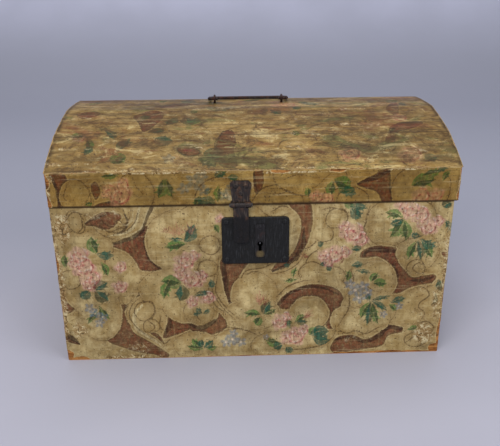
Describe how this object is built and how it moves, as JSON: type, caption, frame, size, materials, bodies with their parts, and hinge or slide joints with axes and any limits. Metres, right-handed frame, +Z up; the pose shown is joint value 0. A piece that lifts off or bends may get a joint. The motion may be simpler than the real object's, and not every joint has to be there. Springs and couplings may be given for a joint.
{
  "type": "dome-top trunk",
  "caption": "Small dome-top pine trunk covered in printed wallpaper, with iron strap hasp, box lock, butt hinges and a bail handle on the lid.",
  "frame": {"origin": "middle of the underside of the chest, on the surface it stands on", "axes": "+Z up, +X to the right along the front, the front with lock and hasp faces -Y"},
  "size_m": [0.455, 0.3356, 0.2899],
  "materials": {
    "pine": "bare aged pine, dry and matt",
    "chest_paper": "block-printed wallpaper, matt, worn at the edges",
    "lid_paper": "block-printed wallpaper, yellowed",
    "dome_paper": "block-printed wallpaper, rubbed and grimy",
    "lock_iron": "blackened wrought iron",
    "hasp_iron": "wrought iron browned with old rust",
    "hinge_iron": "wrought iron, dull",
    "handle_iron": "round wrought iron, rubbed",
    "nail_iron": "cut iron nails",
    "pin_steel": "worn bright"
  },
  "bodies": {
    "chest": {"bottom_board": "pine", "front_board": "pine", "back_board": "pine", "left_end_board": "pine", "right_end_board": "pine", "front_wallpaper": "chest_paper", "back_wallpaper": "chest_paper", "left_wallpaper": "chest_paper", "right_wallpaper": "chest_paper", "carcass_nails": "nail_iron", "lock_plate": "lock_iron", "keyhole_escutcheon": "lock_iron", "escutcheon_rivets": "lock_iron", "lock_case": "lock_iron", "lock_drill_pin": "pin_steel", "lock_spring": "lock_iron", "lock_nails": "lock_iron", "left_hinge_lower_leaf": "hinge_iron", "right_hinge_lower_leaf": "hinge_iron", "left_hinge_pin": "hinge_iron", "right_hinge_pin": "hinge_iron", "lower_hinge_nails": "hinge_iron"},
    "lid": {"lid_front_rail": "pine", "lid_back_rail": "pine", "lid_left_end": "pine", "lid_right_end": "pine", "dome_stave_1": "pine", "dome_stave_2": "pine", "dome_stave_3": "pine", "dome_stave_4": "pine", "dome_stave_5": "pine", "dome_wallpaper": "dome_paper", "lid_front_wallpaper": "lid_paper", "lid_back_wallpaper": "lid_paper", "lid_left_wallpaper": "lid_paper", "lid_right_wallpaper": "lid_paper", "lid_nails": "nail_iron", "left_hinge_upper_leaf": "hinge_iron", "right_hinge_upper_leaf": "hinge_iron", "upper_hinge_nails": "hinge_iron", "hasp_plate": "hasp_iron", "hasp_nails": "hasp_iron", "hasp_pin": "hasp_iron", "left_handle_eye": "handle_iron", "right_handle_eye": "handle_iron"},
    "hasp": {"hasp_strap": "hasp_iron", "hasp_staple": "hasp_iron"},
    "handle": {"bail_handle": "handle_iron"},
    "lock_bolt": {"lock_bolt": "lock_iron"}
  },
  "joints": [
    {"name": "lid_hinge", "type": "hinge", "parent": "chest", "child": "lid", "pos_m": [0, 0.1643, 0.1946], "axis": [-1, 0, 0], "range_deg": [0, 180]},
    {"name": "hasp_pivot", "type": "hinge", "parent": "lid", "child": "hasp", "pos_m": [-0.014, -0.1643, 0.1953], "axis": [-1, 0, 0], "range_deg": [0, 150]},
    {"name": "handle_swing", "type": "hinge", "parent": "lid", "child": "handle", "pos_m": [-0.0005, -0.0005, 0.2849], "axis": [1, 0, 0], "range_deg": [0, 194]},
    {"name": "lock_bolt_slide", "type": "slide", "parent": "chest", "child": "lock_bolt", "axis": [-1, 0, 0], "range_m": [0, 0.009]}
  ]
}
